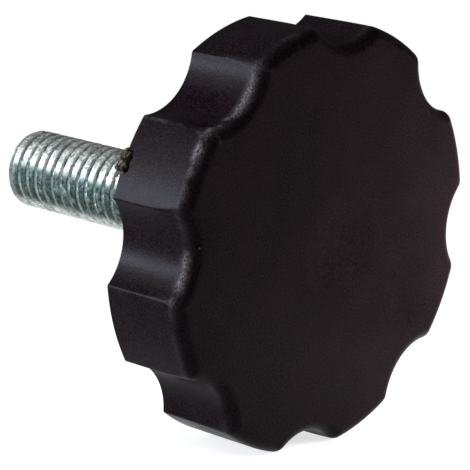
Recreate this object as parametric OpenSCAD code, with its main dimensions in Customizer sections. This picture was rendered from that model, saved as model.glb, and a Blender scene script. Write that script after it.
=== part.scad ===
// Lobed clamping knob: a fluted plastic head moulded round the hexagon of a steel screw.
// The screw lies along Y. The flat front looks towards -Y and the stud points towards +Y.
// The origin is the middle of the seat, where the stud leaves the hub. One flute is straight up.

/* [Grip rim] */
// Diameter over the lobes
head_d = 50; // [44:1:60]
// Height of the lobed rim, from the front face to its back edge
rim_h = 11; // [9:0.5:16]
// Number of flutes, and of the lobes between them
flute_n = 8; // [5:1:10]
// Radius of each flute
flute_r = 7; // [5:0.5:8]
// Depth of each flute below the lobes
flute_depth = 2.4; // [1.6:0.1:3.2]
// Rounding of the front edge along the lobes
front_edge_r = 1.45; // [0.8:0.05:2]
// How much smaller the rounding along the flutes is
flute_edge_less = 0.15; // [0.1:0.05:0.5]

/* [Cored back] */
// Thickness of the front wall, over the pockets and over the screw's hexagon
front_wall = 3.6; // [2.5:0.1:5]
// Thickness of the rim's wall
rim_wall = 3; // [2:0.1:4]
// Thickness of the ribs that tie the hub to the flutes
rib_t = 1.8; // [1.2:0.1:3]
// How far the ribs stop short of the rim's back edge
rib_drop = 1.5; // [0.5:0.1:3]

/* [Hub] */
// Length of the hub behind the rim's back edge
hub_len = 9; // [4:0.5:16]
// Plastic round the corners of the screw's hexagon
hub_wall = 2.2; // [1.6:0.1:3.5]
// Diameter of the hub at its seat
seat_d = 20; // [16:0.5:22]
// Chamfer round the outside of the seat
seat_chamfer = 0.5; // [0.2:0.1:1]
// Bevel in the seat round the screw, which clears the end of the thread
seat_bevel = 1; // [0.8:0.1:2]

/* [Marks of the moulding] */
// Diameter of the sink mark in the front face
sink_d = 12.5; // [8:0.5:18]
// Depth of the sink mark
sink_depth = 0.12; // [0.05:0.01:0.4]
// Distance of the sink mark to the right of the axis, seen from the front
sink_right = 2; // [0:0.1:4]
// Distance of the sink mark below the axis
sink_drop = 1; // [0:0.1:4]
// Lobe that carries the broken gate, counted anticlockwise from the top flute
gate_lobe = 2; // [1:1:5]
// Angle of the broken gate past the middle of its lobe
gate_shift = 1.5; // [-2:0.5:2]
// Width of the broken gate along the rim
gate_w = 3.8; // [2:0.1:6]
// Height of the broken gate above the lobe
gate_proud = 0.5; // [0.2:0.1:1.5]
// How far the broken gate stands behind the rim's back edge
gate_t = 1.1; // [0.6:0.1:2]

/* [Screw] */
// Diameter over the thread's crests
stud_d = 9.85; // [7.85:0.05:11.85]
// Length of the stud beyond the seat
stud_len = 30; // [15:1:60]
// How much slimmer than the thread the plain shank inside the hub is
shank_relief = 0.85; // [0.2:0.05:1.2]
// Chamfer at the stud's tip
tip_chamfer = 0.9; // [0.4:0.1:1.5]
// Width of the hexagon across its flats
hex_af = 17; // [16:0.5:19]
// Height of the hexagon
hex_h = 6.4; // [5:0.1:8]

/* [Hidden] */
$fn = 96;

head_r = head_d / 2;
stud_r = stud_d / 2;
shank_r = (stud_d - shank_relief) / 2;
seat_r = seat_d / 2;
hex_corner_r = hex_af / 2 / cos(30);
hub_r = hex_corner_r + hub_wall;

// Stations along the screw's axis, from the seat at 0
rim_back_z = -hub_len;
front_z = rim_back_z - rim_h;
floor_z = front_z + front_wall;
rib_z = rim_back_z - rib_drop;
hex_back_z = floor_z + hex_h;

flute_step = 360 / flute_n;
flute_axis_r = head_r - flute_depth + flute_r;
flute_edge_r = front_edge_r - flute_edge_less;
gate_angle = (gate_lobe - 0.5) * flute_step + gate_shift;
// The sphere whose cap is the sink mark
sink_sphere_r = (pow(sink_d / 2, 2) + pow(sink_depth, 2)) / (2 * sink_depth);

// The rounding runs this far past the front face, and so meets it at a slight angle
edge_ease = 0.02;
// Length by which a cutter runs past what it cuts
over = 1;
// The gate's root runs this far into the rim
gate_sunk = 0.4;
// The gate's torn end slopes from this share of its height to the whole
tear_low = 0.45;
// Width of the torn end as a share of the gate's width at the rim
tear_taper = 0.8;

plastic_black = [0.09, 0.08, 0.085];
zinc_plate = [0.70, 0.73, 0.72];

// Turns a model built along Z so that its axis lies along Y
module lay_along_y() {
    rotate([-90, 0, 0]) children();
}

// Turns a shape on the +X side to an angle from the top flute, anticlockwise seen from the front
module from_top(angle) {
    rotate([0, 0, -90 - angle]) children();
}

module at_each_flute() {
    for (i = [0 : flute_n - 1]) from_top(i * flute_step) children();
}

// Half section of the plain disc behind the lobes, with its rounded front edge
module disc_section() {
    intersection() {
        union() {
            translate([0, front_z]) square([head_r - front_edge_r, rim_h]);
            translate([0, front_z + front_edge_r - edge_ease])
                square([head_r, rim_h - front_edge_r + edge_ease]);
            translate([head_r - front_edge_r, front_z + front_edge_r - edge_ease]) circle(front_edge_r);
        }
        translate([0, front_z]) square([head_r, rim_h]);
    }
}

// Half section of a flute's cutter: straight, with a flare that leaves the front edge round
module flute_section() {
    translate([0, front_z - over]) square([flute_r, rim_h + 2 * over]);
    difference() {
        translate([0, front_z - over]) square([flute_r + flute_edge_r, over + flute_edge_r - edge_ease]);
        translate([flute_r + flute_edge_r, front_z + flute_edge_r - edge_ease]) circle(flute_edge_r);
    }
}

// Solid rim with its flutes, before it is cored
module fluted_blank() {
    difference() {
        rotate_extrude() disc_section();
        at_each_flute() translate([flute_axis_r, 0, 0]) rotate_extrude() flute_section();
    }
}

// Outline of the hollow inside the rim's wall
module hollow_outline() {
    difference() {
        circle(head_r - rim_wall);
        at_each_flute() translate([flute_axis_r, 0]) circle(flute_r + rim_wall);
    }
}

module rib_outline() {
    at_each_flute() translate([0, -rib_t / 2]) square([head_r, rib_t]);
}

// Pockets between the ribs, and the clear space over the ribs
module core() {
    translate([0, 0, floor_z]) linear_extrude(rim_back_z - floor_z + over) difference() {
        hollow_outline();
        rib_outline();
    }
    translate([0, 0, rib_z]) linear_extrude(rib_drop + over) hollow_outline();
}

// Hub round the hexagon, tapering to the seat
module hub() {
    translate([0, 0, floor_z]) cylinder(h = rim_back_z - floor_z, r = hub_r);
    translate([0, 0, rim_back_z]) cylinder(h = hub_len - seat_chamfer, r1 = hub_r, r2 = seat_r);
    translate([0, 0, -seat_chamfer]) cylinder(h = seat_chamfer, r1 = seat_r, r2 = seat_r - seat_chamfer);
}

// Stub of the gate, broken off on a slope, behind the rim's back edge
module broken_gate() {
    root = head_r - rim_wall / 2;
    translate([0, 0, rim_back_z - gate_sunk]) linear_extrude(gate_t + gate_sunk) polygon([
        [root, -gate_w / 2],
        [head_r + gate_proud * tear_low, -gate_w / 2 * tear_taper],
        [head_r + gate_proud, gate_w / 2 * tear_taper],
        [root, gate_w / 2]
    ]);
}

module sink_mark() {
    translate([sink_right, sink_drop, front_z + sink_depth - sink_sphere_r]) sphere(sink_sphere_r);
}

// The part of the screw that the plastic holds: hexagon and plain shank
module held_screw() {
    translate([0, 0, floor_z]) cylinder(h = hex_h, r = hex_corner_r, $fn = 6);
    translate([0, 0, hex_back_z]) cylinder(h = -hex_back_z, r = shank_r);
}

// The part of the screw that stands free: the threaded length and its chamfered tip
module free_screw() {
    cylinder(h = stud_len - tip_chamfer, r = stud_r);
    translate([0, 0, stud_len - tip_chamfer])
        cylinder(h = tip_chamfer, r1 = stud_r, r2 = stud_r - tip_chamfer);
}

// The bevel runs past the seat at its own slope
module bevel_cutter() {
    translate([0, 0, -seat_bevel])
        cylinder(h = seat_bevel + over, r1 = shank_r, r2 = shank_r + seat_bevel + over);
}

module grip_head() {
    color(plastic_black) lay_along_y() difference() {
        union() {
            difference() {
                fluted_blank();
                core();
            }
            hub();
            from_top(gate_angle) broken_gate();
        }
        sink_mark();
        held_screw();
        bevel_cutter();
    }
}

module threaded_stud() {
    color(zinc_plate) lay_along_y() {
        held_screw();
        free_screw();
    }
}

grip_head();
threaded_stud();
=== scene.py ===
"""Dresses a lobed clamping knob: a black moulded head on a zinc-plated screw."""
import cmath
import logging
import math
from dataclasses import dataclass, field
from enum import Enum
from typing import Any

import bmesh
import bpy
from mathutils import Matrix, Vector, noise


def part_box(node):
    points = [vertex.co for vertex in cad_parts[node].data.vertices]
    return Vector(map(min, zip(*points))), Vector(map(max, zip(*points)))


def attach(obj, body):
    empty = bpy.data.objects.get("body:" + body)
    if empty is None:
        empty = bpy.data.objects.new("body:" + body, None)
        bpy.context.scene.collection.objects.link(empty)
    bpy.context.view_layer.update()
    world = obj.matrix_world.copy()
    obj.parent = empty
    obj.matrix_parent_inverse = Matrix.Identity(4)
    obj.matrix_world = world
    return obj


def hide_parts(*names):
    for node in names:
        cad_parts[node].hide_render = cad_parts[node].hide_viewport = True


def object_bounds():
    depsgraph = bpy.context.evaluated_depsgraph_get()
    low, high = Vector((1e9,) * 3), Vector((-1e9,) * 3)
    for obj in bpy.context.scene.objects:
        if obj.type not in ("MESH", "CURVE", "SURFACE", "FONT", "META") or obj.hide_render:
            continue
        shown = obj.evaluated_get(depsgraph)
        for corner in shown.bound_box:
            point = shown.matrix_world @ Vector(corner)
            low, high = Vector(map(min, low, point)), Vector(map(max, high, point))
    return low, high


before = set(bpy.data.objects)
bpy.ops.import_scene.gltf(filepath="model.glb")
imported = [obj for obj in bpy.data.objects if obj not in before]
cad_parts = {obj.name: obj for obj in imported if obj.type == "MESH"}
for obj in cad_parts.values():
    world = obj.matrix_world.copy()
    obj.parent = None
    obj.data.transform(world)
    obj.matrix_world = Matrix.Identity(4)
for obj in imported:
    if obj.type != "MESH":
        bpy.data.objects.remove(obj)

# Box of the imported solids, taken before any piece stands for them
CAD_BOX = [list(corner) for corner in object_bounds()]
BODY = "root"
MM = 0.001
# Points closer together than this become one
WELD = 0.002 * MM
WHITE = "#ffffff"
BLACK = "#000000"
log = logging.getLogger("knob")

# Kinds of node that are used most
MATH = "ShaderNodeMath"
MIX = "ShaderNodeMix"
NOISE = "ShaderNodeTexNoise"
RANGE = "ShaderNodeMapRange"
COMBINE = "ShaderNodeCombineXYZ"
# Numbers of a Mix node's sockets, because several of them share one name
COLOUR_A, COLOUR_B, COLOUR_OUT = 6, 7, 2
VALUE_A, VALUE_B, VALUE_OUT = 2, 3, 0

Point = tuple[float, float, float]
Loop = list[bmesh.types.BMVert]


class Slot(Enum):
    """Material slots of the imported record."""

    PLASTIC = "head_plastic"
    STEEL = "zinc_steel"


class PointMarks(Enum):
    """Point attributes that carry wear, painted highlight and painted shade from a mesh to its material."""

    # Wear of the front edge, with painted highlight on its lit side and the lobes' corners
    EDGE = "edge_wear_and_sheen"
    THREAD = "thread_groove"
    # Painted shade along one side of the stud
    SIDE_SHADE = "painted_side_shade"


def linear(hex_colour: str, alpha: float = 1.0) -> tuple[float, float, float, float]:
    """Turns an sRGB hex colour to linear light.

    Args:
        hex_colour: Six hex digits after a hash sign.
        alpha: Opacity of the colour.

    Returns:
        Linear red, green and blue, and the opacity.
    """
    parts = [int(hex_colour[i:i + 2], 16) / 255 for i in (1, 3, 5)]
    light = [c / 12.92 if c <= 0.04045 else ((c + 0.055) / 1.055) ** 2.4 for c in parts]
    return (*light, alpha)


def feed(tree: bpy.types.NodeTree, node: bpy.types.Node, sockets: dict[Any, Any]) -> None:
    """Sets the inputs of a node.

    Args:
        tree: The tree that holds the node.
        node: The node.
        sockets: Input name or number to a value, or to the output that feeds it.
    """
    for key, value in sockets.items():
        if isinstance(value, bpy.types.NodeSocket):
            tree.links.new(value, node.inputs[key])
        else:
            node.inputs[key].default_value = value


def add(tree: bpy.types.NodeTree, kind: str, sockets: dict[Any, Any] | None = None,
        **settings: Any) -> bpy.types.Node:
    """Adds a node to a tree, with its settings, values and links.

    Args:
        tree: The tree that takes the node.
        kind: Blender's name for the node's type.
        sockets: Input name or number to a value, or to the output that feeds it.
        **settings: Properties of the node.

    Returns:
        The new node.
    """
    node = tree.nodes.new(kind)
    for name, value in settings.items():
        setattr(node, name, value)
    feed(tree, node, sockets or {})
    return node


def per_metre(size_mm: float) -> float:
    """Gives the texture scale at which one feature is about this many millimetres across."""
    return 1 / (size_mm * MM)


def new_object(name: str, data: bpy.types.ID) -> bpy.types.Object:
    """Links a mesh, lamp or camera to the scene as an object at the origin.

    Args:
        name: The object's name.
        data: What it shows.

    Returns:
        The object.
    """
    made = bpy.data.objects.new(name, data)
    bpy.context.scene.collection.objects.link(made)
    return made


def new_material(name: str) -> tuple[bpy.types.Material, bpy.types.Node, bpy.types.NodeSocket]:
    """Makes a material with nodes.

    Args:
        name: The material's name.

    Returns:
        The material, its shader, and the Object coordinates that its patterns lie on.
    """
    material = bpy.data.materials.new(name)
    material.use_nodes = True
    place = add(material.node_tree, "ShaderNodeTexCoord").outputs["Object"]
    return material, material.node_tree.nodes["Principled BSDF"], place


def shade(mesh: bpy.types.Mesh, sharp_above_deg: float) -> None:
    """Shades a mesh smooth, with hard edges above an angle."""
    mesh.shade_smooth()
    mesh.set_sharp_from_angle(angle=math.radians(sharp_above_deg))


def weld(bm: bmesh.types.BMesh) -> None:
    """Merges doubled points, drops loose ones and turns the faces outwards.

    Args:
        bm: The mesh to mend.
    """
    bmesh.ops.remove_doubles(bm, verts=bm.verts, dist=WELD)
    loose = [vert for vert in bm.verts if not vert.link_faces]
    bmesh.ops.delete(bm, geom=loose, context="VERTS")
    bmesh.ops.recalc_face_normals(bm, faces=bm.faces)


@dataclass(frozen=True)
class Grain:
    """A noise pattern, given by the real size of its features."""

    size_mm: float
    detail: float
    rough: float = 0.5

    def on(self, place: bpy.types.NodeSocket) -> dict[str, Any]:
        """Gives the pattern's inputs on these coordinates."""
        return {"Vector": place, "Scale": per_metre(self.size_mm), "Detail": self.detail,
                "Roughness": self.rough}


@dataclass(frozen=True)
class Span:
    """A stretch of a pattern's values, and what its two ends become."""

    low: float
    high: float
    to_low: float = 0.0
    to_high: float = 1.0

    def of(self, value: bpy.types.NodeSocket) -> dict[str, Any]:
        """Gives the inputs that spread a value over the stretch."""
        return {"Value": value, "From Min": self.low, "From Max": self.high,
                "To Min": self.to_low, "To Max": self.to_high}


@dataclass(frozen=True)
class BlackPlastic:
    """Black polyamide as it comes from a fine-eroded mould, rubbed and painted with highlight along its front
    edge.
    """

    # To the eye it is nearly black with a brown cast, a little cloudy, with a soft sheen where a wall turns
    # to the light, and pale, dull streaks along the front edge, partly rubbed wear and partly painted
    # highlight on the lit side and on the lobes' corners.
    # The mould's grain and the single scratches are under 0.1 mm and would not show. They are drawn two to
    # three times as coarse. The gloss is held low, because the pale floor is mirrored all round the head.
    name: str = "moulded_black_polyamide"
    dark: str = "#020202"
    light: str = "#20161b"
    # Pale colour of the rubbed edge, also painting a highlight on its lit side and corners
    scuff_and_sheen: str = "#878582"
    dust: str = "#554e52"
    cloud: Grain = Grain(6.0, 5.0, 0.6)
    grain: Grain = Grain(0.25, 3.0, 0.55)
    scratch: Grain = Grain(0.22, 6.0, 0.7)
    patch: Grain = Grain(2.4, 2.0)
    speck_mm: float = 1.8
    cloud_share: float = 0.25
    mottle: Span = Span(0.45, 0.80)
    streaks: Span = Span(0.38, 0.70)
    patches: Span = Span(0.38, 0.62)
    speck_edge: Span = Span(0.04, 0.08, 1.0, 0.0)
    speck_above: float = 0.9
    rough: Span = Span(0.3, 0.7, 0.28, 0.38)
    rough_scuffed: float = 0.75
    specular: float = 0.046
    ior: float = 1.35
    grain_depth_mm: float = 0.040
    grain_strength: float = 0.6

    def make(self) -> bpy.types.Material:
        """Builds the material.

        Returns:
            The finished material.
        """
        material, shader, place = new_material(self.name)
        tree = material.node_tree
        cloud = add(tree, NOISE, self.cloud.on(place)).outputs["Fac"]
        grain = add(tree, NOISE, self.grain.on(place)).outputs["Fac"]
        scratch = add(tree, NOISE, self.scratch.on(place)).outputs["Fac"]
        patch = add(tree, NOISE, self.patch.on(place)).outputs["Fac"]

        # Pale streaks, in patches, where the mesh marks edge wear and painted highlight
        scuffed_and_sheen = add(tree, "ShaderNodeAttribute", attribute_name=PointMarks.EDGE.value).outputs["Fac"]
        streaks = add(tree, RANGE, self.streaks.of(scratch)).outputs["Result"]
        patches = add(tree, RANGE, self.patches.of(patch)).outputs["Result"]
        for part in (streaks, patches):
            scuffed_and_sheen = add(tree, MATH, {0: scuffed_and_sheen, 1: part}, operation="MULTIPLY").outputs["Value"]

        # A few specks of dust, one in some of the cells
        cells = add(tree, "ShaderNodeTexVoronoi", {"Vector": place, "Scale": per_metre(self.speck_mm)})
        near = add(tree, RANGE, self.speck_edge.of(cells.outputs["Distance"])).outputs["Result"]
        lone = add(tree, MATH, {0: cells.outputs["Color"], 1: self.speck_above}, operation="GREATER_THAN")
        specks = add(tree, MATH, {0: near, 1: lone.outputs["Value"]}, operation="MULTIPLY").outputs["Value"]

        uneven = add(tree, MATH, {0: cloud, 1: self.cloud_share, 2: grain}, operation="MULTIPLY_ADD")
        mottle = add(tree, RANGE, self.mottle.of(uneven.outputs["Value"])).outputs["Result"]
        colour: Any = linear(self.dark)
        for share, tint in ((mottle, self.light), (scuffed_and_sheen, self.scuff_and_sheen), (specks, self.dust)):
            colour = add(tree, MIX, {"Factor": share, COLOUR_A: colour, COLOUR_B: linear(tint)},
                         data_type="RGBA").outputs[COLOUR_OUT]
        rough = add(tree, RANGE, self.rough.of(cloud)).outputs["Result"]
        dull = add(tree, MIX, {"Factor": scuffed_and_sheen, VALUE_A: rough, VALUE_B: self.rough_scuffed})
        bump = add(tree, "ShaderNodeBump", {"Height": grain, "Strength": self.grain_strength,
                                            "Distance": self.grain_depth_mm * MM})
        feed(tree, shader, {"Base Color": colour, "Roughness": dull.outputs[VALUE_OUT],
                            "Normal": bump.outputs["Normal"],
                            "Specular IOR Level": self.specular, "IOR": self.ior})
        return material


@dataclass(frozen=True)
class TornPlastic:
    """The same black polyamide where the gate was broken off."""

    # To the eye it is dull and fibrous, dark with grey-brown ridges where the plastic was drawn out.
    # Single fibres would not show, so tufts of about half a millimetre stand for them.
    name: str = "torn_black_polyamide"
    dark: str = "#141110"
    pale: str = "#8a7e65"
    fibre: Grain = Grain(0.55, 4.0, 0.65)
    ridges: Span = Span(0.48, 0.72)
    rough: float = 0.8
    specular: float = 0.15
    depth_mm: float = 0.12
    strength: float = 0.8

    def make(self) -> bpy.types.Material:
        """Builds the material.

        Returns:
            The finished material.
        """
        material, shader, place = new_material(self.name)
        tree = material.node_tree
        fibre = add(tree, NOISE, self.fibre.on(place)).outputs["Fac"]
        ridges = add(tree, RANGE, self.ridges.of(fibre)).outputs["Result"]
        colour = add(tree, MIX, {"Factor": ridges, COLOUR_A: linear(self.dark), COLOUR_B: linear(self.pale)},
                     data_type="RGBA")
        bump = add(tree, "ShaderNodeBump", {"Height": fibre, "Strength": self.strength,
                                            "Distance": self.depth_mm * MM})
        feed(tree, shader, {"Base Color": colour.outputs[COLOUR_OUT], "Normal": bump.outputs["Normal"],
                            "Roughness": self.rough, "Specular IOR Level": self.specular})
        return material


@dataclass(frozen=True)
class ZincPlate:
    """Bright zinc plate, laid from a bath over a rolled steel thread."""

    # To the eye it is a cold pale grey, bright on the rubbed crests, darkened in the grooves by painted shade
    # and dirt, and painted with a blotchy blue-green shade along one side.
    # The plate's crystals are a few hundredths of a millimetre and would not show, so the grit is drawn
    # about ten times as coarse.
    name: str = "zinc_plated_steel"
    crest: str = "#d9dfd8"
    plate: str = "#8e958c"
    groove: str = "#191f20"
    # Colour of the painted shade along one side
    painted_side_shade: str = "#0c1b1a"
    # Tint that the painted shade along one side multiplies in
    tint: str = "#e2f2f2"
    cloud: Grain = Grain(1.6, 4.0, 0.6)
    grit: Grain = Grain(0.32, 3.0, 0.6)
    cloud_share: float = 0.8
    crystals: Span = Span(0.76, 1.06)
    blotches: Span = Span(0.22, 0.47)
    pores: Span = Span(0.35, 0.65, 1.0, 0.86)
    land: Span = Span(0.05, 0.4, 1.0, 0.0)
    # Spread of the painted shade and dirt over the groove's depth
    groove_dirt_and_shade: Span = Span(0.35, 0.8)
    rough: Span = Span(0.3, 0.7, 0.38, 0.74)
    grit_depth_mm: float = 0.13

    def make(self) -> bpy.types.Material:
        """Builds the material.

        Returns:
            The finished material.
        """
        material, shader, place = new_material(self.name)
        tree = material.node_tree
        cloud = add(tree, NOISE, self.cloud.on(place)).outputs["Fac"]
        grit = add(tree, NOISE, self.grit.on(place)).outputs["Fac"]
        depth = add(tree, "ShaderNodeAttribute", attribute_name=PointMarks.THREAD.value).outputs["Fac"]
        shade_band = add(tree, "ShaderNodeAttribute", attribute_name=PointMarks.SIDE_SHADE.value).outputs["Fac"]

        # The painted shade along one side is blotchy, and only its lands are darkened
        shaded_side = shade_band
        for span, value in ((self.blotches, cloud), (self.pores, grit), (self.land, depth)):
            part = add(tree, RANGE, span.of(value)).outputs["Result"]
            shaded_side = add(tree, MATH, {0: shaded_side, 1: part}, operation="MULTIPLY").outputs["Value"]

        # Painted shade and dirt darken the grooves, except on the painted shaded side
        unshaded_side = add(tree, MATH, {0: 1.0, 1: shade_band}, operation="SUBTRACT").outputs["Value"]
        groove_dirt_and_shade = add(tree, RANGE, {**self.groove_dirt_and_shade.of(depth), "To Max": unshaded_side}).outputs["Result"]

        uneven = add(tree, MATH, {0: cloud, 1: self.cloud_share, 2: grit}, operation="MULTIPLY_ADD")
        crystals = add(tree, RANGE, self.crystals.of(uneven.outputs["Value"])).outputs["Result"]
        colour: Any = linear(self.plate)
        for share, tint, blend in ((crystals, self.crest, "MIX"), (shade_band, self.tint, "MULTIPLY"),
                                   (shaded_side, self.painted_side_shade, "MIX"), (groove_dirt_and_shade, self.groove, "MIX")):
            colour = add(tree, MIX, {"Factor": share, COLOUR_A: colour, COLOUR_B: linear(tint)},
                         data_type="RGBA", blend_type=blend).outputs[COLOUR_OUT]
        rough = add(tree, RANGE, self.rough.of(grit)).outputs["Result"]
        bump = add(tree, "ShaderNodeBump", {"Height": grit, "Strength": 1.0,
                                            "Distance": self.grit_depth_mm * MM})
        feed(tree, shader, {"Base Color": colour, "Roughness": rough, "Normal": bump.outputs["Normal"],
                            "Metallic": 1.0})
        return material


@dataclass
class LoopMesh:
    """A mesh of closed loops round the axis, all with the same number of points."""

    bm: bmesh.types.BMesh = field(default_factory=bmesh.new)

    def __post_init__(self) -> None:
        """Adds the layer that carries each point's wear and painted highlight."""
        self.wear = self.bm.verts.layers.float.new(PointMarks.EDGE.value)

    def loop(self, places: list[Vector], wear: list[float] | None = None) -> Loop:
        """Adds the points of one loop.

        Args:
            places: Where the points are.
            wear: How much each is worn and painted with highlight, if any is.

        Returns:
            The loop.
        """
        made = [self.bm.verts.new(place) for place in places]
        for vert, worn in zip(made, wear or ()):
            vert[self.wear] = worn
        return made

    def join(self, first: Loop, second: Loop, keep: set[int] | None = None) -> None:
        """Adds a band of faces between two loops.

        Args:
            first: One loop.
            second: The other loop.
            keep: The columns that get a face, or None for all of them.
        """
        count = len(first)
        for k in range(count):
            if keep is None or k in keep:
                after = (k + 1) % count
                self.bm.faces.new((first[k], first[after], second[after], second[k]))

    def chain(self, loops: list[Loop]) -> None:
        """Joins each loop to the next."""
        for first, second in zip(loops, loops[1:]):
            self.join(first, second)

    def cap(self, loop: Loop, y: float) -> None:
        """Closes a loop with a fan to the axis.

        Args:
            loop: The loop.
            y: Station of the fan's middle.
        """
        middle = self.bm.verts.new((0.0, y, 0.0))
        for k, vert in enumerate(loop):
            self.bm.faces.new((vert, loop[(k + 1) % len(loop)], middle))


@dataclass
class GripHead:
    """The moulded head: lobed rim, flat front with its sink mark, cored back, hub and torn gate.

    Outlines are complex numbers, with the top flute on the real axis and angles that run anticlockwise seen
    from the front. Every outline has the same columns, so that any two can be joined.
    """

    # Lobed rim
    front_y: float = field(default_factory=lambda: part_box("grip_head")[0].y)
    radius: float = 25 * MM
    rim_h: float = 11 * MM
    flutes: int = 8
    flute_r: float = 7 * MM
    flute_depth: float = 2.4 * MM
    edge_r: float = 1.45 * MM
    back_edge: float = 0.12 * MM
    # Corners of the lobes, which soften over the last stretch to the front
    corner_r: float = 0.32 * MM
    front_corner_r: float = 1.7 * MM
    corner_run: float = 4.5 * MM
    # Rubbed front edge, with painted highlight on its lit side: its reach down the side, its fall on the
    # rounding, the middle and half width of each worn and lit stretch round the rim, how sharply a stretch
    # ends, and the wear elsewhere and the wear and painted highlight on corners
    wear_run: float = 0.8 * MM
    wear_fall: int = 8
    worn_and_lit_stretches_deg: tuple[tuple[float, float], ...] = ((53.0, 24.0), (95.0, 7.5))
    wear_end: int = 4
    # Wear and painted highlight on the lobes' corners
    wear_rest: float = 0.12
    corner_wear_and_sheen: float = 0.22
    # Cored back
    wall: float = 3 * MM
    front_wall: float = 3.6 * MM
    rib_t: float = 1.8 * MM
    rib_drop: float = 1.5 * MM
    # Hub, seat and the hole that holds the screw
    hub_r: float = 12.015 * MM
    seat_r: float = 10 * MM
    seat_chamfer: float = 0.5 * MM
    seat_bevel: float = 1 * MM
    shank_r: float = 4.5 * MM
    hex_af: float = 17 * MM
    hex_h: float = 6.4 * MM
    # Sink mark in the front
    sink_r: float = 6.25 * MM
    sink_depth: float = 0.12 * MM
    sink_right: float = 2 * MM
    sink_drop: float = 1 * MM
    # Torn gate: its place, half sizes outwards, along the rim and backwards, how square it is, and the
    # size, height, roughness, step and octaves of its torn surface
    gate_angle_deg: float = 69.0
    gate_in: float = 0.1 * MM
    gate_behind: float = -0.05 * MM
    gate_half: Point = (0.55 * MM, 1.5 * MM, 0.75 * MM)
    gate_power: float = 0.7
    gate_tear: float = 0.7 * MM
    gate_tear_height: float = 0.28 * MM
    gate_fractal: tuple[float, float, int] = (0.9, 2.1, 4)
    gate_subdivisions: int = 5
    # Steps of the mesh
    flute_steps: int = 12
    corner_steps: int = 6
    lobe_steps: int = 12
    side_steps: int = 20
    edge_steps: int = 10
    face_steps: int = 56
    sharp_deg: float = 35.0

    def __post_init__(self) -> None:
        """Works out the stations along the axis and the wear and painted highlight of each column's corner.
        """
        self.rim_back_y = self.front_y + self.rim_h
        self.floor_y = self.front_y + self.front_wall
        self.rib_y = self.rim_back_y - self.rib_drop
        self.hex_back_y = self.floor_y + self.hex_h
        self.flute_axis_r = self.radius - self.flute_depth + self.flute_r
        self.step = 2 * math.pi / self.flutes
        half = [0.0] * (self.flute_steps + 1)
        half += [self.corner_wear_and_sheen] * self.corner_steps
        half += [0.0] * self.lobe_steps
        self.column_wear_and_sheen = (half[:-1] + half[:0:-1]) * self.flutes

    def around(self, half: list[complex]) -> list[complex]:
        """Repeats half a period of an outline round the axis.

        Args:
            half: Points from the middle of a flute to the middle of the next lobe.

        Returns:
            The closed outline, one point for each column of the mesh.
        """
        turn = cmath.exp(1j * self.step)
        back = [turn * p.conjugate() for p in half[:0:-1]]
        period = half[:-1] + back
        return [p * cmath.exp(1j * self.step * i) for i in range(self.flutes) for p in period]

    def corner(self, y: float) -> float:
        """Gives the rounding of the lobes' corners at a station: crisp behind, soft at the front."""
        share = min(1.0, max(0.0, 1 - (y - self.front_y - self.edge_r) / self.corner_run))
        return self.corner_r + (self.front_corner_r - self.corner_r) * share * share

    def outline(self, inset: float, corner: float = 0.0, rib: bool = False) -> list[complex]:
        """Gives the lobed outline, moved inwards.

        Args:
            inset: Distance from the outer surface.
            corner: Rounding of the lobes' corners on the outer surface.
            rib: Whether the second point of each flute lies on a rib's side.

        Returns:
            The outline.
        """
        # The corner's arc is centred where the lobe and the flute, both moved in by its radius, cross
        reach = max(inset, corner)
        lobe, flute, far = self.radius - reach, self.flute_r + reach, self.flute_axis_r
        lobe_angle = math.acos((lobe**2 + far**2 - flute**2) / (2 * lobe * far))
        flute_angle = math.acos((far**2 + flute**2 - lobe**2) / (2 * far * flute))
        flute_r = self.flute_r + inset
        first = math.asin(self.rib_t / 2 / flute_r) / flute_angle if rib else 1 / self.flute_steps
        shares = [first + (1 - first) * k / (self.flute_steps - 1) for k in range(self.flute_steps)]
        half = [far - flute_r * cmath.exp(-1j * flute_angle * share) for share in [0.0, *shares]]
        centre = lobe * cmath.exp(1j * lobe_angle)
        start = cmath.phase(far - centre)
        for k in range(1, self.corner_steps + 1):
            angle = start + (lobe_angle - start) * k / self.corner_steps
            half.append(centre + (reach - inset) * cmath.exp(1j * angle))
        for k in range(1, self.lobe_steps + 1):
            angle = lobe_angle + (self.step / 2 - lobe_angle) * k / self.lobe_steps
            half.append((self.radius - inset) * cmath.exp(1j * angle))
        return self.around(half)

    def circle(self, radius: float) -> list[complex]:
        """Gives a round outline whose points beside each flute's middle lie on a rib's sides.

        Args:
            radius: The circle's radius.

        Returns:
            The outline.
        """
        edge = math.asin(self.rib_t / 2 / radius)
        count = self.flute_steps + self.corner_steps + self.lobe_steps
        angles = [edge + (self.step / 2 - edge) * k / (count - 1) for k in range(count)]
        return self.around([radius * cmath.exp(1j * angle) for angle in [0.0, *angles]])

    def hexagon(self) -> list[complex]:
        """Gives the outline of the screw's hexagon.

        Returns:
            The outline.
        """
        side = math.radians(60)
        points = []
        for p in self.circle(self.shank_r):
            angle = cmath.phase(p)
            off = angle % side - side / 2
            points.append(self.hex_af / 2 / math.cos(off) * cmath.exp(1j * angle))
        return points

    def place(self, p: complex, y: float) -> Vector:
        """Puts a point of an outline at a station along the axis."""
        return Vector((-p.imag, y, p.real))

    def rubbed_and_lit(self, p: complex) -> float:
        """Gives the share of wear and painted highlight at a point round the rim.

        Args:
            p: The point of an outline.

        Returns:
            The share, up to 1 in the middle of a worn and lit stretch.
        """
        angle = math.degrees(cmath.phase(p))
        stretches = self.worn_and_lit_stretches_deg
        shares = [1 - (abs(angle - middle) / half) ** self.wear_end for middle, half in stretches]
        return max(self.wear_rest, *shares)

    def sink(self, p: complex) -> float:
        """Gives the depth of the sink mark under a point of the front face."""
        away = abs(p - complex(-self.sink_drop, -self.sink_right)) / self.sink_r
        return self.sink_depth * max(0.0, 1 - away * away)

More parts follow.
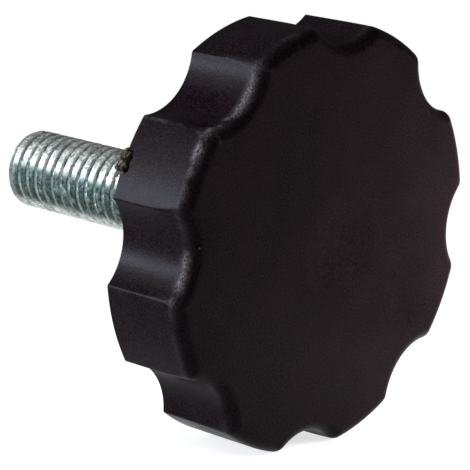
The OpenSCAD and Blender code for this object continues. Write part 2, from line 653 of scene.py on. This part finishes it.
    def row(self, mesh: LoopMesh, points: list[complex], y: float, worn: float | None = None) -> Loop:
        """Adds one outline to the mesh at a station.

        Args:
            mesh: The head's mesh.
            points: The outline.
            y: The station along the axis.
            worn: The row's wear, with a lower limit of wear and painted highlight on the lobes' corners, or
                None for no wear.

        Returns:
            The loop.
        """
        places = [self.place(p, y) for p in points]
        if worn is None:
            return mesh.loop(places)
        # Wear, with painted highlight on the lit stretches and the lobes' corners
        wear = [max(worn, corner) * self.rubbed_and_lit(p) for p, corner in zip(points, self.column_wear_and_sheen)]
        return mesh.loop(places, wear)

    def add_outside(self, mesh: LoopMesh) -> Loop:
        """Adds the rim's side, its rounded front edge, and the front with its sink mark.

        Args:
            mesh: The head's mesh.

        Returns:
            The rim's back edge.
        """
        loops = [self.row(mesh, self.outline(self.back_edge, self.corner_r), self.rim_back_y)]
        side_back = self.rim_back_y - self.back_edge
        side_front = self.front_y + self.edge_r
        for k in range(self.side_steps + 1):
            y = side_back + (side_front - side_back) * k / self.side_steps
            near = max(0.0, 1 - (y - side_front) / self.wear_run)
            loops.append(self.row(mesh, self.outline(0, self.corner(y)), y, near * near))
        for k in range(1, self.edge_steps + 1):
            angle = math.pi / 2 * k / self.edge_steps
            line = self.outline(self.edge_r * (1 - math.cos(angle)), self.front_corner_r)
            y = self.front_y + self.edge_r * (1 - math.sin(angle))
            loops.append(self.row(mesh, line, y, math.cos(angle) ** self.wear_fall))
        rim_line = self.outline(self.edge_r, self.front_corner_r)
        for k in range(1, self.face_steps):
            ring = [p * (1 - k / self.face_steps) for p in rim_line]
            loops.append(mesh.loop([self.place(p, self.front_y + self.sink(p)) for p in ring]))
        mesh.chain(loops)
        mesh.cap(loops[-1], self.front_y + self.sink(0))
        return loops[0]

    def add_back(self, mesh: LoopMesh, rim: Loop) -> Loop:
        """Adds the cored back: the inside of the rim's wall, the pockets, and the ribs between them.

        Args:
            mesh: The head's mesh.
            rim: The rim's back edge.

        Returns:
            The loop round the hub at the ribs' height.
        """
        columns = len(rim)
        period = columns // self.flutes
        ribs = {(i * period + k) % columns for i in range(self.flutes) for k in (-1, 0)}
        pockets = set(range(columns)) - ribs
        inner = self.outline(self.wall, rib=True)
        hub = self.circle(self.hub_r)
        wall_back = self.row(mesh, inner, self.rim_back_y)
        wall_rib = self.row(mesh, inner, self.rib_y)
        wall_floor = self.row(mesh, inner, self.floor_y)
        hub_floor = self.row(mesh, hub, self.floor_y)
        hub_rib = self.row(mesh, hub, self.rib_y)
        mesh.join(rim, wall_back)
        mesh.join(wall_back, wall_rib)
        mesh.join(wall_rib, hub_rib, ribs)
        mesh.join(wall_rib, wall_floor, pockets)
        mesh.join(wall_floor, hub_floor, pockets)
        mesh.join(hub_floor, hub_rib, pockets)
        for i in range(self.flutes):
            for k in (-1, 1):
                c = (i * period + k) % columns
                mesh.bm.faces.new((wall_rib[c], wall_floor[c], hub_floor[c], hub_rib[c]))
        return hub_rib

    def add_hub(self, mesh: LoopMesh, foot: Loop) -> None:
        """Adds the hub, its seat with the bevel round the screw, and the hole that holds the screw.

        Args:
            mesh: The head's mesh.
            foot: The loop round the hub at the ribs' height.
        """
        profile = ((self.hub_r, self.rim_back_y),
                   (self.seat_r, -self.seat_chamfer),
                   (self.seat_r - self.seat_chamfer, 0.0),
                   (self.shank_r + self.seat_bevel, 0.0),
                   (self.shank_r, -self.seat_bevel),
                   (self.shank_r, self.hex_back_y))
        loops = [foot]
        loops += [self.row(mesh, self.circle(radius), y) for radius, y in profile]
        loops += [self.row(mesh, self.hexagon(), y) for y in (self.hex_back_y, self.floor_y)]
        mesh.chain(loops)
        mesh.cap(loops[-1], self.floor_y)

    def add_gate(self, bm: bmesh.types.BMesh) -> None:
        """Adds the torn stub of the gate on the back edge of its lobe.

        Args:
            bm: The head's mesh, which takes the stub.
        """
        angle = math.radians(self.gate_angle_deg)
        out = Vector((-math.sin(angle), 0, math.cos(angle)))
        along = Vector((-math.cos(angle), 0, -math.sin(angle)))
        back = Vector((0, 1, 0))
        middle = out * (self.radius - self.gate_in) + back * (self.rim_back_y + self.gate_behind)
        made = bmesh.ops.create_icosphere(bm, subdivisions=self.gate_subdivisions, radius=1.0)
        for vert in made["verts"]:
            squared = [math.copysign(abs(c) ** self.gate_power, c) for c in vert.co]
            local = Vector([c * half for c, half in zip(squared, self.gate_half)])
            tear = noise.fractal(local / self.gate_tear, *self.gate_fractal) * self.gate_tear_height
            local += vert.co.normalized() * tear
            vert.co = middle + out * local.x + along * local.y + back * local.z
            for face in vert.link_faces:
                face.material_index = 1

    def build(self) -> bpy.types.Object:
        """Makes the head's mesh.

        Returns:
            The head, with its wear attribute.
        """
        mesh = LoopMesh()
        rim = self.add_outside(mesh)
        foot = self.add_back(mesh, rim)
        self.add_hub(mesh, foot)
        weld(mesh.bm)
        self.add_gate(mesh.bm)
        data = bpy.data.meshes.new("grip_head_moulding")
        mesh.bm.to_mesh(data)
        mesh.bm.free()
        shade(data, self.sharp_deg)
        return new_object("grip_head_moulding", data)

    def dress(self, piece: bpy.types.Object) -> None:
        """Gives the head its materials and its place in the frame.

        Args:
            piece: The head.
        """
        piece.data.materials.append(BlackPlastic().make())
        piece.data.materials.append(TornPlastic().make())
        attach(piece, BODY)
        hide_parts("grip_head")


@dataclass
class ThreadedStud:
    """The zinc-plated screw: hexagon and shank in the hub, and the threaded stud that shows."""

    length: float = field(default_factory=lambda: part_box("threaded_stud")[1].y)
    hex_y: float = field(default_factory=lambda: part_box("threaded_stud")[0].y)
    hex_af: float = 17 * MM
    hex_h: float = 6.4 * MM
    shank_r: float = 4.5 * MM
    crest_r: float = 4.925 * MM
    tip_chamfer: float = 0.9 * MM
    # Thread: its pitch and depth, the shares of the pitch that crest and root take, and its end at the tip
    pitch: float = 1.5 * MM
    depth: float = 0.46 * MM
    crest_share: float = 0.58
    root_share: float = 0.06
    runout: float = 1.3 * MM
    # Pitted surface, which also breaks the groove up, down to a least share of its depth
    pitting: float = 0.16 * MM
    pit_size: float = 0.6 * MM
    pit_detail: float = 3.0
    ragged: tuple[float, float] = (0.38, 0.58)
    least_groove: float = 0.5
    # Painted shade along one side: place and half width in turns, the share of it that is fully shaded, and
    # its end at the tip
    side_shade_turn: float = 0.712
    side_shade_width: float = 0.11
    side_shade_core: float = 0.5
    side_shade_run: float = 2.0 * MM
    # Steps of the mesh: the end rows are the thread's last row and one that closes each end, and the open
    # half is the grid's half length, short of the rows that close the ends
    rows_per_turn: int = 20
    end_rows: int = 3
    open_half: float = 0.49999
    columns: int = 128
    sharp_deg: float = 65.0

    def inputs(self, material: bpy.types.Material) -> dict[str, Any]:
        """Gives the named inputs of the screw's Geometry Nodes.

        Args:
            material: The screw's finish.

        Returns:
            Name to value.
        """
        turns = self.length / self.pitch
        return {
            "Length": self.length,
            "Pitch": self.pitch,
            "Crest Radius": self.crest_r,
            "Groove Depth": self.depth,
            "Least Groove": self.least_groove,
            "Crest Share": self.crest_share,
            "Root Share": self.root_share,
            "Run Out": self.runout,
            "Tip Chamfer": self.tip_chamfer,
            "Pit Depth": self.pitting,
            "Pit Scale": 1 / self.pit_size,
            "Patina Turn": self.side_shade_turn,
            "Patina Width": self.side_shade_width,
            "Patina Run": self.side_shade_run,
            "Shank Radius": self.shank_r,
            "Shank Length": -(self.hex_y + self.hex_h),
            "Hexagon Radius": self.hex_af / 2 / math.cos(math.radians(30)),
            "Hexagon Height": self.hex_h,
            "Rows": round(turns * self.rows_per_turn) + self.end_rows,
            "Columns": self.columns,
            "Material": material,
        }

    def thread(self, tree: bpy.types.NodeTree, given: bpy.types.NodeOutputs) -> bpy.types.NodeSocket:
        """Adds the threaded length: a grid that is wound round the axis, cut, and closed at both ends.

        Args:
            tree: The tree that takes the nodes.
            given: The tree's inputs.

        Returns:
            The thread's geometry.
        """
        columns = add(tree, MATH, {0: given["Columns"], 1: 1.0}, operation="ADD").outputs[0]
        grid = add(tree, "GeometryNodeMeshGrid", {"Size X": 1.0, "Size Y": 1.0, "Vertices X": columns,
                                                  "Vertices Y": given["Rows"]})
        position = add(tree, "GeometryNodeInputPosition").outputs[0]
        spot = add(tree, "ShaderNodeSeparateXYZ", {0: position}).outputs
        turn = add(tree, MATH, {0: spot["X"], 1: 0.5}, operation="ADD").outputs[0]
        share = add(tree, MATH, {0: spot["Y"], 1: 0.5}, operation="ADD").outputs[0]

        # Station along the axis: the first and last steps of the grid stand still and close the ends
        steps = add(tree, MATH, {0: given["Rows"], 1: float(self.end_rows)}, operation="SUBTRACT").outputs[0]
        spare = add(tree, MATH, {0: given["Length"], 1: steps}, operation="DIVIDE").outputs[0]
        reach = add(tree, MATH, {0: spare, 1: 2.0, 2: given["Length"]}, operation="MULTIPLY_ADD").outputs[0]
        past = add(tree, MATH, {0: share, 1: reach}, operation="MULTIPLY").outputs[0]
        run = add(tree, MATH, {0: past, 1: spare}, operation="SUBTRACT").outputs[0]
        along = add(tree, "ShaderNodeClamp", {"Value": run, "Min": 0.0, "Max": given["Length"]}).outputs[0]
        rest = add(tree, MATH, {0: given["Length"], 1: along}, operation="SUBTRACT").outputs[0]

        # Where the point is between two crests, from 0 in the root to 1 on a crest
        turns = add(tree, MATH, {0: along, 1: given["Pitch"]}, operation="DIVIDE").outputs[0]
        ahead = add(tree, MATH, {0: turns, 1: turn}, operation="SUBTRACT").outputs[0]
        phase = add(tree, MATH, {0: ahead}, operation="FRACT").outputs[0]
        aside = add(tree, MATH, {0: phase, 1: 0.5}, operation="SUBTRACT").outputs[0]
        apart = add(tree, MATH, {0: aside}, operation="ABSOLUTE").outputs[0]
        crest = add(tree, MATH, {0: apart, 1: 2.0}, operation="MULTIPLY").outputs[0]
        flank = add(tree, MATH, {0: 1.0, 1: given["Crest Share"]}, operation="SUBTRACT").outputs[0]
        full = add(tree, RANGE, {"Value": crest, "From Min": given["Root Share"], "From Max": flank,
                                 "To Min": 1.0, "To Max": 0.0}, interpolation_type="SMOOTHSTEP").outputs[0]

        # Pits in the plain surface, and the groove that they break up
        angle = add(tree, MATH, {0: turn, 1: 2 * math.pi}, operation="MULTIPLY").outputs[0]
        sine = add(tree, MATH, {0: angle}, operation="SINE").outputs[0]
        cosine = add(tree, MATH, {0: angle}, operation="COSINE").outputs[0]
        outward = add(tree, COMBINE, {"X": sine, "Z": cosine}).outputs[0]
        axis = add(tree, COMBINE, {"Y": along}).outputs[0]
        skin = add(tree, "ShaderNodeVectorMath", {0: outward, 1: given["Crest Radius"], 2: axis},
                   operation="MULTIPLY_ADD").outputs[0]
        pits = add(tree, NOISE, {"Vector": skin, "Scale": given["Pit Scale"],
                                 "Detail": self.pit_detail}).outputs["Fac"]
        low, high = self.ragged
        ragged = add(tree, RANGE, {"Value": pits, "From Min": low, "From Max": high,
                                   "To Min": given["Least Groove"], "To Max": 1.0}).outputs[0]
        groove = add(tree, MATH, {0: rest, 1: given["Run Out"]}, operation="DIVIDE",
                     use_clamp=True).outputs[0]
        for part in (full, ragged):
            groove = add(tree, MATH, {0: groove, 1: part}, operation="MULTIPLY").outputs[0]

        # Radius: the pitted and cut thread, inside the tip's chamfer, and nothing at the two closed ends
        cut = given["Crest Radius"]
        for part, size in ((pits, "Pit Depth"), (groove, "Groove Depth")):
            lost = add(tree, MATH, {0: part, 1: given[size]}, operation="MULTIPLY").outputs[0]
            cut = add(tree, MATH, {0: cut, 1: lost}, operation="SUBTRACT").outputs[0]
        end = add(tree, MATH, {0: rest, 1: given["Crest Radius"]}, operation="ADD").outputs[0]
        tip = add(tree, MATH, {0: end, 1: given["Tip Chamfer"]}, operation="SUBTRACT").outputs[0]
        least = add(tree, MATH, {0: cut, 1: tip}, operation="MINIMUM").outputs[0]
        inside = add(tree, MATH, {0: share, 1: 0.5, 2: self.open_half}, operation="COMPARE").outputs[0]
        radius = add(tree, MATH, {0: least, 1: inside}, operation="MULTIPLY").outputs[0]
        there = add(tree, "ShaderNodeVectorMath", {0: outward, 1: radius, 2: axis},
                    operation="MULTIPLY_ADD").outputs[0]

        # Painted shade along one side, fading out at the tip
        off = add(tree, MATH, {0: turn, 1: given["Patina Turn"]}, operation="SUBTRACT").outputs[0]
        beside = add(tree, MATH, {0: off}, operation="ABSOLUTE").outputs[0]
        core = add(tree, MATH, {0: given["Patina Width"], 1: self.side_shade_core},
                   operation="MULTIPLY").outputs[0]
        shade_band = add(tree, RANGE, {"Value": beside, "From Min": core, "From Max": given["Patina Width"],
                                  "To Min": 1.0, "To Max": 0.0}, interpolation_type="SMOOTHSTEP").outputs[0]
        away_from_tip = add(tree, MATH, {0: rest, 1: given["Patina Run"]}, operation="DIVIDE",
                    use_clamp=True).outputs[0]
        shaded_side = add(tree, MATH, {0: shade_band, 1: away_from_tip}, operation="MULTIPLY").outputs[0]

        mesh = grid.outputs["Mesh"]
        for wear, value in ((PointMarks.THREAD, groove), (PointMarks.SIDE_SHADE, shaded_side)):
            mesh = add(tree, "GeometryNodeStoreNamedAttribute",
                       {"Geometry": mesh, "Name": wear.value, "Value": value},
                       data_type="FLOAT", domain="POINT").outputs[0]
        return add(tree, "GeometryNodeSetPosition", {"Geometry": mesh, "Position": there}).outputs[0]

    def rods(self, tree: bpy.types.NodeTree, given: bpy.types.NodeOutputs) -> list[bpy.types.NodeSocket]:
        """Adds the plain shank in the hub and the hexagon behind it.

        Args:
            tree: The tree that takes the nodes.
            given: The tree's inputs.

        Returns:
            The geometry of each.
        """
        made = []
        quarter = (-math.pi / 2, 0.0, 0.0)
        behind = add(tree, MATH, {0: 0.0, 1: given["Shank Length"]}, operation="SUBTRACT").outputs[0]
        for name, size, sides, start in (("Shank", "Length", given["Columns"], 0.0),
                                         ("Hexagon", "Height", 6, behind)):
            height = given[f"{name} {size}"]
            rod = add(tree, "GeometryNodeMeshCylinder", {"Vertices": sides, "Radius": given[f"{name} Radius"],
                                                         "Depth": height}).outputs["Mesh"]
            middle = add(tree, MATH, {0: height, 1: -0.5, 2: start}, operation="MULTIPLY_ADD").outputs[0]
            where = add(tree, COMBINE, {"Y": middle}).outputs[0]
            made.append(add(tree, "GeometryNodeTransform", {"Geometry": rod, "Translation": where,
                                                            "Rotation": quarter}).outputs[0])
        return made

    def tree(self, inputs: dict[str, Any]) -> bpy.types.NodeTree:
        """Builds the Geometry Nodes tree of the screw.

        Args:
            inputs: The tree's named inputs.

        Returns:
            The tree.
        """
        tree = bpy.data.node_groups.new("rolled_thread", "GeometryNodeTree")
        tree.interface.new_socket("Geometry", in_out="OUTPUT", socket_type="NodeSocketGeometry")
        kinds = {float: "NodeSocketFloat", int: "NodeSocketInt", bpy.types.Material: "NodeSocketMaterial"}
        for name, value in inputs.items():
            tree.interface.new_socket(name, in_out="INPUT", socket_type=kinds[type(value)])
        given = add(tree, "NodeGroupInput").outputs
        joined = add(tree, "GeometryNodeJoinGeometry")
        for part in (self.thread(tree, given), *self.rods(tree, given)):
            tree.links.new(part, joined.inputs[0])
        welded = add(tree, "GeometryNodeMergeByDistance", {"Geometry": joined.outputs[0], "Distance": WELD})
        real = add(tree, "GeometryNodeRealizeInstances", {"Geometry": welded.outputs[0]})
        dressed = add(tree, "GeometryNodeSetMaterial", {"Geometry": real.outputs[0],
                                                        "Material": given["Material"]})
        add(tree, "NodeGroupOutput", {"Geometry": dressed.outputs[0]})
        return tree

    def build(self, material: bpy.types.Material) -> bpy.types.Object:
        """Runs the tree and keeps its result as a plain mesh.

        Args:
            material: The screw's finish.

        Returns:
            The screw.
        """
        holder = new_object("thread_maker", bpy.data.meshes.new("thread_maker"))
        modifier = holder.modifiers.new("thread", "NODES")
        inputs = self.inputs(material)
        modifier.node_group = self.tree(inputs)
        for item in modifier.node_group.interface.items_tree:
            if item.in_out == "INPUT":
                modifier[item.identifier] = inputs[item.name]
        bpy.context.view_layer.update()
        graph = bpy.context.evaluated_depsgraph_get()
        mesh = bpy.data.meshes.new_from_object(holder.evaluated_get(graph), depsgraph=graph)
        holder.modifiers.remove(modifier)
        bpy.data.objects.remove(holder)
        bm = bmesh.new()
        bm.from_mesh(mesh)
        weld(bm)
        bm.to_mesh(mesh)
        bm.free()
        mesh.name = "threaded_screw"
        shade(mesh, self.sharp_deg)
        return new_object("threaded_screw", mesh)

    def dress(self, piece: bpy.types.Object) -> None:
        """Gives the screw its place in the frame.

        Args:
            piece: The screw.
        """
        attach(piece, BODY)
        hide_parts("threaded_stud")


@dataclass(frozen=True)
class SoftBox:
    """A soft box: place, power in watts, width and height, colour, and whether gloss mirrors it."""

    name: str
    place: Point
    power: float
    size: tuple[float, float]
    colour: str = WHITE
    mirrored: bool = True

    def hang(self, aim: Point) -> None:
        """Hangs the soft box.

        Args:
            aim: The point that it faces.
        """
        data = bpy.data.lights.new(self.name, "AREA")
        data.shape = "RECTANGLE"
        data.size, data.size_y = self.size
        data.energy = self.power
        data.color = linear(self.colour)[:3]
        lamp = new_object(self.name, data)
        lamp.visible_camera = False
        lamp.visible_glossy = self.mirrored
        lamp.location = self.place
        lamp.rotation_mode = "QUATERNION"
        lamp.rotation_quaternion = (Vector(aim) - Vector(self.place)).to_track_quat("-Z", "Y")


@dataclass
class Studio:
    """Pale floor, soft light and the camera at the photograph's angle."""

    # Camera
    azimuth_deg: float = -48.32
    elevation_deg: float = 10.95
    roll_deg: float = 4.83
    distance: float = 274.1 * MM
    target: Point = (-7.12 * MM, -11.71 * MM, -0.2 * MM)
    lens: float = 184.1
    sensor: float = 36.0
    clip: tuple[float, float] = (0.01, 20.0)
    # Floor: it keeps the shadow near the knob, and is plain white from further out
    floor_size: float = 6.0
    floor_colour: str = "#cccccc"
    floor_lift: float = 0.70
    floor_rough: float = 0.9
    floor_specular: float = 0.1
    shadow_reach: float = 45 * MM
    white_from: float = 100 * MM
    # Light: two soft boxes behind on the stud's side, one by the camera, a broad one above, and a small
    # card beside the front that lifts its far half and is not mirrored in it
    sky: float = 0.10
    aim: Point = (0.0, -15 * MM, 0.0)
    soft_boxes: tuple[SoftBox, ...] = (
        SoftBox("key_behind_left", (-0.559, 0.50, 0.115), 7.9, (0.17, 0.17), "#dfe6ff"),
        SoftBox("window_behind_left", (-0.53, 0.42, 0.33), 2.75, (0.35, 0.35)),
        SoftBox("fill_by_camera", (-0.36, -0.50, 0.54), 1.3, (0.28, 0.28)),
        SoftBox("broad_above", (0.0, 0.3, 2.2), 7.0, (3.0, 3.0)),
        SoftBox("card_beside_front", (0.054, -0.042, 0.0), 0.075, (0.03, 0.03), "#fff6f6", mirrored=False),
    )

    def shown(self, tree: bpy.types.NodeTree) -> bpy.types.NodeSocket:
        """Finds the rays that show the background: straight, mirrored or through glass.

        Args:
            tree: The tree that takes the nodes.

        Returns:
            1 on those rays and 0 on the others.
        """
        path = add(tree, "ShaderNodeLightPath").outputs
        seen = path["Is Camera Ray"]
        for way in ("Is Glossy Ray", "Is Transmission Ray"):
            seen = add(tree, MATH, {0: seen, 1: path[way]}, operation="MAXIMUM").outputs["Value"]
        return seen

    def floor_material(self) -> bpy.types.Material:
        """Builds the floor's finish, smooth pale paper that whitens away from the knob.

        Returns:
            The finished material.
        """
        # To the eye it is matt, even and without any grain
        material, shader, place = new_material("pale_studio_floor")
        tree = material.node_tree
        away = add(tree, "ShaderNodeVectorMath", {0: place}, operation="LENGTH").outputs["Value"]
        far = add(tree, RANGE, Span(self.shadow_reach, self.white_from).of(away),
                  interpolation_type="SMOOTHSTEP").outputs["Result"]
        lift = add(tree, RANGE, Span(0.0, 1.0, self.floor_lift).of(far)).outputs["Result"]
        seen = self.shown(tree)
        glow = add(tree, MATH, {0: seen, 1: lift}, operation="MULTIPLY").outputs["Value"]
        bare = add(tree, MATH, {0: seen, 1: far}, operation="MULTIPLY").outputs["Value"]
        colour = add(tree, MIX, {"Factor": bare, COLOUR_A: linear(self.floor_colour),
                                 COLOUR_B: linear(BLACK)}, data_type="RGBA").outputs[COLOUR_OUT]
        feed(tree, shader, {"Base Color": colour, "Emission Strength": glow, "Emission Color": linear(WHITE),
                            "Roughness": self.floor_rough, "Specular IOR Level": self.floor_specular})
        return material

    def floor(self, height: float) -> None:
        """Lays the floor under the lowest lobes.

        Args:
            height: Where the floor lies.
        """
        bm = bmesh.new()
        bmesh.ops.create_grid(bm, x_segments=1, y_segments=1, size=self.floor_size / 2)
        bmesh.ops.translate(bm, verts=bm.verts, vec=(0, 0, height))
        mesh = bpy.data.meshes.new("studio_floor")
        bm.to_mesh(mesh)
        bm.free()
        mesh.materials.append(self.floor_material())
        floor = new_object("studio_floor", mesh)

    def world(self) -> None:
        """Sets an even pale surround."""
        world = bpy.data.worlds.new("pale_surround")
        bpy.context.scene.world = world
        world.use_nodes = True
        tree = world.node_tree
        feed(tree, tree.nodes["Background"], {"Color": linear(WHITE), "Strength": self.sky})

    def lights(self) -> None:
        """Hangs the soft boxes."""
        for soft_box in self.soft_boxes:
            soft_box.hang(self.aim)

    def camera(self) -> None:
        """Sets the camera where the photograph was taken from."""
        azimuth, elevation = math.radians(self.azimuth_deg), math.radians(self.elevation_deg)
        back = Vector((math.sin(azimuth) * math.cos(elevation), -math.cos(azimuth) * math.cos(elevation),
                       math.sin(elevation)))
        data = bpy.data.cameras.new("photo_camera")
        data.lens, data.sensor_width = self.lens, self.sensor
        data.clip_start, data.clip_end = self.clip
        camera = new_object("photo_camera", data)
        level = (-back).to_track_quat("-Z", "Y").to_matrix().to_4x4()
        rolled = level @ Matrix.Rotation(math.radians(self.roll_deg), 4, "Z")
        camera.matrix_world = Matrix.Translation(Vector(self.target) + back * self.distance) @ rolled
        bpy.context.scene.camera = camera


def main() -> None:
    """Builds the knob and its studio, and reports each piece."""
    logging.basicConfig(level=logging.INFO, format="%(name)s: %(message)s")
    bpy.context.scene.view_settings.view_transform = "Standard"
    studio = Studio()
    studio.camera()
    head = GripHead()
    moulding = head.build()
    head.dress(moulding)
    log.info("%s: %d faces", moulding.name, len(moulding.data.polygons))
    stud = ThreadedStud()
    screw = stud.build(ZincPlate().make())
    stud.dress(screw)
    log.info("%s: %d faces", screw.name, len(screw.data.polygons))
    studio.floor(CAD_BOX[0][2])
    studio.world()
    studio.lights()


if __name__ == "__main__":
    main()
